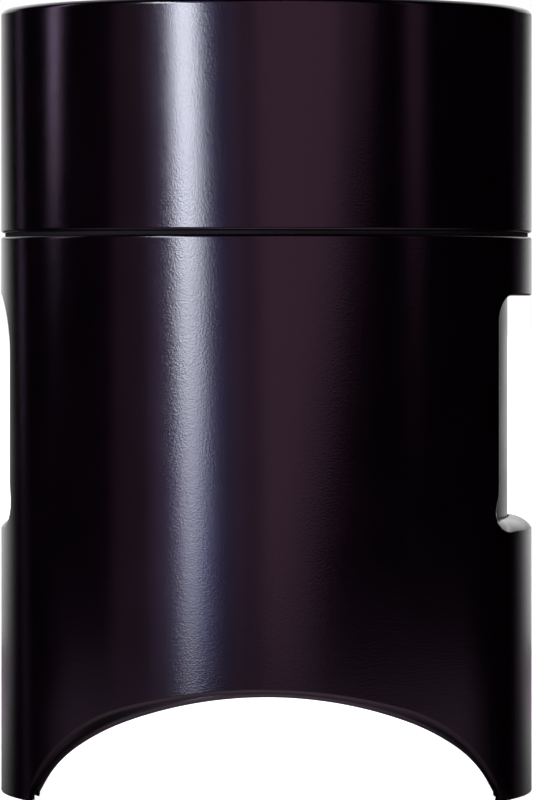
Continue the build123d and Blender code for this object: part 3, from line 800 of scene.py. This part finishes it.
def build_panel_marks():
    """Fine marks round the dial, every fourth one longer."""
    inner, outer, count, wide = 18.0 * MM, 19.4 * MM, 48, 0.25 * MM
    sunk, proud, long_every = 0.1 * MM, 0.04 * MM, 4
    pieces = []
    for k in range(count):
        angle = 2 * pi * k / count
        length = outer if k % long_every == 0 else (inner + outer) / 2
        side = Vector((cos(angle), sin(angle)))
        across = Vector((-side.y, side.x)) * wide / 2
        pieces.append([tuple(p) for p in (side * inner - across, side * length - across,
                                          side * length + across, side * inner + across)])
    mesh = extruded("panel_marks", pieces, panel_top - sunk, panel_top + proud)
    place("panel_marks", mesh, "head", "mark_grey")


def build_display():
    """The smoked lens and, under it, a row of seven-bar figures that are switched off."""
    low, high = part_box("display_lens")
    half_w, half_d, corner = (high.x - low.x) / 2, (high.y - low.y) / 2, 2 * MM
    centre_y, edge, bevel = (low.y + high.y) / 2, 0.2 * MM, 0.3
    outline = box_outline(half_w, -half_d, half_d, corner, corner, 1 * MM)
    rows = []
    for inset, height in ((0, low.z), (0, high.z - edge), (edge * bevel, high.z - edge * bevel),
                          (edge, high.z)):
        scale_x, scale_y = 1 - inset / half_w, 1 - inset / half_d
        rows.append([(x * scale_x, y * scale_y + centre_y, height) for x, y in outline])
    count, last = len(outline), len(rows) - 1
    points = [p for row in rows for p in row]
    faces = [list(range(count))[::-1], [last * count + k for k in range(count)]]
    for r in range(last):
        faces += [[r * count + k, r * count + (k + 1) % count, (r + 1) * count + (k + 1) % count,
                   (r + 1) * count + k] for k in range(count)]
    mesh = bpy.data.meshes.new("lens_glass")
    mesh.from_pydata(points, [], faces)
    mesh.shade_smooth()
    mesh.set_sharp_from_angle(angle=radians(glass_crease))
    place("lens_glass", mesh, "head", "smoked_lens", "display_lens")
    tall, wide, thick, half_deep = 3.1 * MM, 2.9 * MM, 0.5 * MM, 0.05 * MM
    figures_at = (-9.3 * MM, -3.7 * MM, 3.7 * MM, 9.3 * MM)
    figures = []
    for x in figures_at:
        for level in (-1, 0, 1):
            figures.append(bar(x, centre_y + level * tall, wide - thick, thick))
        for side in (-1, 1):
            for level in (-1, 1):
                figures.append(bar(x + side * wide / 2, centre_y + level * tall / 2, thick,
                                   tall - thick))
    module_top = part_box("display_module")[1].z
    figure_mesh = extruded("display_figures", figures, module_top - half_deep,
                           module_top + half_deep)
    place("display_figures", figure_mesh, "head", "mark_grey")


build_skirt()
build_sleeve()
build_casing()
build_dial()
build_button("power_button", "power_key", power_icon())
build_button("start_button", "start_key", start_icon())
build_panel_marks()
build_display()


# ---- stage, light and camera -----------------------------------------------
def build_floor():
    """A plain white floor, wide enough for every view."""
    mesh = bpy.data.meshes.new("floor")
    reach = 12.0
    corners = [(-reach, -reach, 0), (reach, -reach, 0), (reach, reach, 0), (-reach, reach, 0)]
    mesh.from_pydata(corners, [], [(0, 1, 2, 3)])
    floor = bpy.data.objects.new("floor", mesh)
    bpy.context.scene.collection.objects.link(floor)
    material = bpy.data.materials.new("white_floor")
    material.use_nodes = True
    shader = material.node_tree.nodes["Principled BSDF"]
    shader.inputs["Base Color"].default_value = (0.9, 0.9, 0.9, 1)
    shader.inputs["Roughness"].default_value = 0.9
    shader.inputs["Specular IOR Level"].default_value = 0.0
    shader.inputs["Emission Color"].default_value = (1, 1, 1, 1)
    shader.inputs["Emission Strength"].default_value = 1.0
    mesh.materials.append(material)
    floor.visible_glossy = False


def build_painted_floor_reflection():
    """The painted reflection of the lit floor near the object: a hidden emissive ring seen only in
    the gloss, bright close by, then dim.
    It is full in front, with painted shade at the sides near the feet, and weaker behind."""
    inside, halfway, outside, count, raised, strength = 0.053, 0.13, 0.44, 96, 0.1 * MM, 1.7
    # plum-tinted colours of the painted floor reflection, from close by to far off
    bright, middling, dim = (1.0, 0.7, 0.9, 1), (0.25, 0.16, 0.24, 1), (0.05, 0.03, 0.05, 1)
    curl = (0.0, 0.25, 0.11, 0.0)  # by distance, how much the front part draws in at the sides, painting shade on the floor's reflection near the feet
    # the front part fades out towards the sides: painted shade near the feet
    front_fade = (-0.04, 0.075, 1.0, 0.0)
    rear_slope, rear_fade = -0.8, (0.03, 0.12, 0.0, 0.6)
    rows = [[around(r, 2 * pi * k / count, raised) for k in range(count)]
            for r in (inside, outside)]
    mesh = bpy.data.meshes.new("painted_floor_reflection")
    mesh.from_pydata(rows[0] + rows[1], [],
                     [(k, (k + 1) % count, count + (k + 1) % count, count + k)
                      for k in range(count)])
    reflection_card = bpy.data.objects.new("painted_floor_reflection", mesh)
    bpy.context.scene.collection.objects.link(reflection_card)
    material = bpy.data.materials.new("painted_floor_reflection")
    material.use_nodes = True
    tree = material.node_tree
    nodes, links = tree.nodes, tree.links
    nodes.clear()
    spot = nodes.new("ShaderNodeTexCoord").outputs["Object"]
    reach = nodes.new("ShaderNodeVectorMath")
    reach.operation = "LENGTH"
    links.new(spot, reach.inputs[0])
    distance = reach.outputs["Value"]
    ramp = nodes.new("ShaderNodeValToRGB")
    stops = ramp.color_ramp.elements
    stops[0].position, stops[0].color = inside, bright
    stops[1].position, stops[1].color = outside, dim
    stops.new(halfway).color = middling
    links.new(distance, ramp.inputs["Fac"])
    sides = nodes.new("ShaderNodeSeparateXYZ")
    links.new(spot, sides.inputs["Vector"])
    bend = ramp_between(tree, distance, *curl)
    depth = calculate(tree, "ADD", sides.outputs["Y"], bend)
    front = ramp_between(tree, depth, *front_fade, smooth=True)
    aside = calculate(tree, "ABSOLUTE", sides.outputs["X"])
    beyond = calculate(tree, "MULTIPLY_ADD", aside, rear_slope, sides.outputs["Y"])
    rear = ramp_between(tree, beyond, *rear_fade, smooth=True)
    lit = calculate(tree, "MAXIMUM", front, rear)
    # the emission paints the floor's reflection into the gloss; the ring is no lamp
    shine = nodes.new("ShaderNodeEmission")
    links.new(ramp.outputs["Color"], shine.inputs["Color"])
    shine.inputs["Strength"].default_value = strength
    clear = nodes.new("ShaderNodeBsdfTransparent")
    mix = nodes.new("ShaderNodeMixShader")
    links.new(lit, mix.inputs["Fac"])
    links.new(clear.outputs["BSDF"], mix.inputs[1])
    links.new(shine.outputs["Emission"], mix.inputs[2])
    out = nodes.new("ShaderNodeOutputMaterial")
    links.new(mix.outputs["Shader"], out.inputs["Surface"])
    mesh.materials.append(material)
    reflection_card.visible_camera = False
    reflection_card.visible_diffuse = False
    reflection_card.visible_shadow = False


def build_world():
    """A white backdrop. As light it is dark in front, white behind and above,
    and nearly nothing below the horizon."""
    near_horizon, high_up = (-0.03, 0.06, 0.04, -0.05), (0.2, 1.0, 0.0, 0.9)
    backlight, ground_fade = (0.78, 1.0, 0.0, 0.85), (-0.12, -0.02, 0.04, 1.0)
    world = bpy.data.worlds.new("studio")
    bpy.context.scene.world = world
    world.use_nodes = True
    tree = world.node_tree
    nodes, links = tree.nodes, tree.links
    nodes.clear()
    direction = nodes.new("ShaderNodeTexCoord")
    split = nodes.new("ShaderNodeSeparateXYZ")
    links.new(direction.outputs["Generated"], split.inputs["Vector"])
    up = split.outputs["Z"]
    horizon = ramp_between(tree, up, *near_horizon)
    overhead = ramp_between(tree, up, *high_up)
    behind = calculate(tree, "ADD", overhead, calculate(tree, "ADD", horizon, split.outputs["Y"]))
    fade = ramp_between(tree, behind, *backlight, smooth=True)
    above = ramp_between(tree, up, *ground_fade, smooth=True)
    lighting = nodes.new("ShaderNodeBackground")
    links.new(calculate(tree, "MULTIPLY", fade, above), lighting.inputs["Strength"])
    seen = nodes.new("ShaderNodeBackground")
    seen.inputs["Strength"].default_value = 1.0
    for background in (lighting, seen):
        background.inputs["Color"].default_value = (1, 1, 1, 1)
    path = nodes.new("ShaderNodeLightPath")
    mix = nodes.new("ShaderNodeMixShader")
    links.new(path.outputs["Is Camera Ray"], mix.inputs["Fac"])
    links.new(lighting.outputs["Background"], mix.inputs[1])
    links.new(seen.outputs["Background"], mix.inputs[2])
    out = nodes.new("ShaderNodeOutputWorld")
    links.new(mix.outputs["Shader"], out.inputs["Surface"])


lean_height = 0.1  # a leaning light turns about its middle line at this height
VIOLET = (0.6, 0.42, 1.0)
LILAC = (0.88, 0.62, 1.0)
BLUE = (0.42, 0.45, 1.0)
LAVENDER = (0.86, 0.89, 1.0)
WHITE = (1.0, 1.0, 1.0)
PLUM = (1.0, 0.5, 0.84)


def softbox(name, azimuth, distance, width, low, high, radiance, colour, lean=0.0):
    """An area light facing the axis, from a low to a high edge: azimuth in degrees from the
    front, towards +X, lean in degrees from upright. Lights that overlap, as seen from the
    object, stand at different distances."""
    light = bpy.data.lights.new(name, "AREA")
    light.shape = "RECTANGLE"
    light.size, light.size_y = width, high - low
    light.energy = radiance * pi * width * (high - low)
    light.color = colour
    box = bpy.data.objects.new(name, light)
    pivot = around(distance, radians(azimuth), lean_height)
    to_axis = Vector((-pivot.x, -pivot.y, 0))
    turn = to_axis.to_track_quat("-Z", "Y").to_matrix().to_4x4()
    rise = Matrix.Translation((0, (low + high) / 2 - lean_height, 0))
    tilt = Matrix.Rotation(radians(lean), 4, "Z")
    box.matrix_world = Matrix.Translation(pivot) @ turn @ tilt @ rise
    box.visible_camera = False
    bpy.context.scene.collection.objects.link(box)


def build_lights():
    """Tall softboxes: one bright strip left of the front, weak wide ones about it, fine strips
    at the sides and behind. Each line: name, azimuth, distance, width, low and high edge,
    radiance, colour, lean."""
    softbox("key_strip", -31.3, 1.20, 0.205, -0.01, 1.0, 8.5, LAVENDER, 32)
    softbox("key_middle", -31.3, 1.21, 0.205, 0.07, 1.0, 4.5, LAVENDER, 32)
    softbox("key_upper", -31.4, 1.22, 0.205, 0.13, 1.0, 9.0, LAVENDER, 32)
    softbox("key_low", -30.2, 1.23, 0.2, -0.35, 0.0, 2.6, BLUE, 10)
    softbox("key_glow", -31.0, 1.25, 0.44, -0.3, 1.0, 1.25, BLUE, 14)
    softbox("wide_glow", -31.0, 1.27, 0.85, -0.3, 1.0, 0.5, VIOLET, 12)
    softbox("left_glow", -50.0, 1.29, 0.85, -0.1, 1.0, 0.18, PLUM)
    softbox("front_glow", 17.0, 1.31, 1.5, -0.05, 1.0, 0.38, PLUM, 20)
    softbox("front_core", 15.0, 1.30, 0.80, 0.0, 1.0, 0.34, PLUM, 20)
    softbox("side_strip", -102.5, 1.3, 0.13, 0.16, 1.0, 2.7, LILAC)
    softbox("edge_glow", -130.5, 1.36, 0.03, -0.3, 0.04, 0.18, LILAC, 32)
    softbox("edge_line", -130.5, 1.37, 0.03, 0.04, 0.5, 0.7, LILAC, 32)
    softbox("edge_right", 136.6, 1.38, 0.03, -0.3, 0.5, 0.17, LILAC)
    softbox("right_strip", 65.5, 1.33, 0.2, 0.12, 1.0, 0.35, PLUM)
    softbox("back_high", 180.0, 1.35, 2.2, 0.28, 1.3, 0.6, WHITE)


def build_camera():
    """Level with the upper body, a metre in front."""
    away, eye_height = 1.0, 92.93 * MM
    camera = bpy.data.cameras.new("camera")
    camera.lens = 238.5
    camera.sensor_width = 36.0
    camera.shift_y = -0.128
    camera.clip_start, camera.clip_end = 0.05, 60.0
    eye = bpy.data.objects.new("camera", camera)
    eye.location = (0, -away, eye_height)
    eye.rotation_euler = (pi / 2, 0, 0)
    bpy.context.scene.collection.objects.link(eye)
    bpy.context.scene.camera = eye


build_floor()
build_painted_floor_reflection()
build_world()
build_lights()
build_camera()
bpy.context.scene.view_settings.view_transform = "Standard"
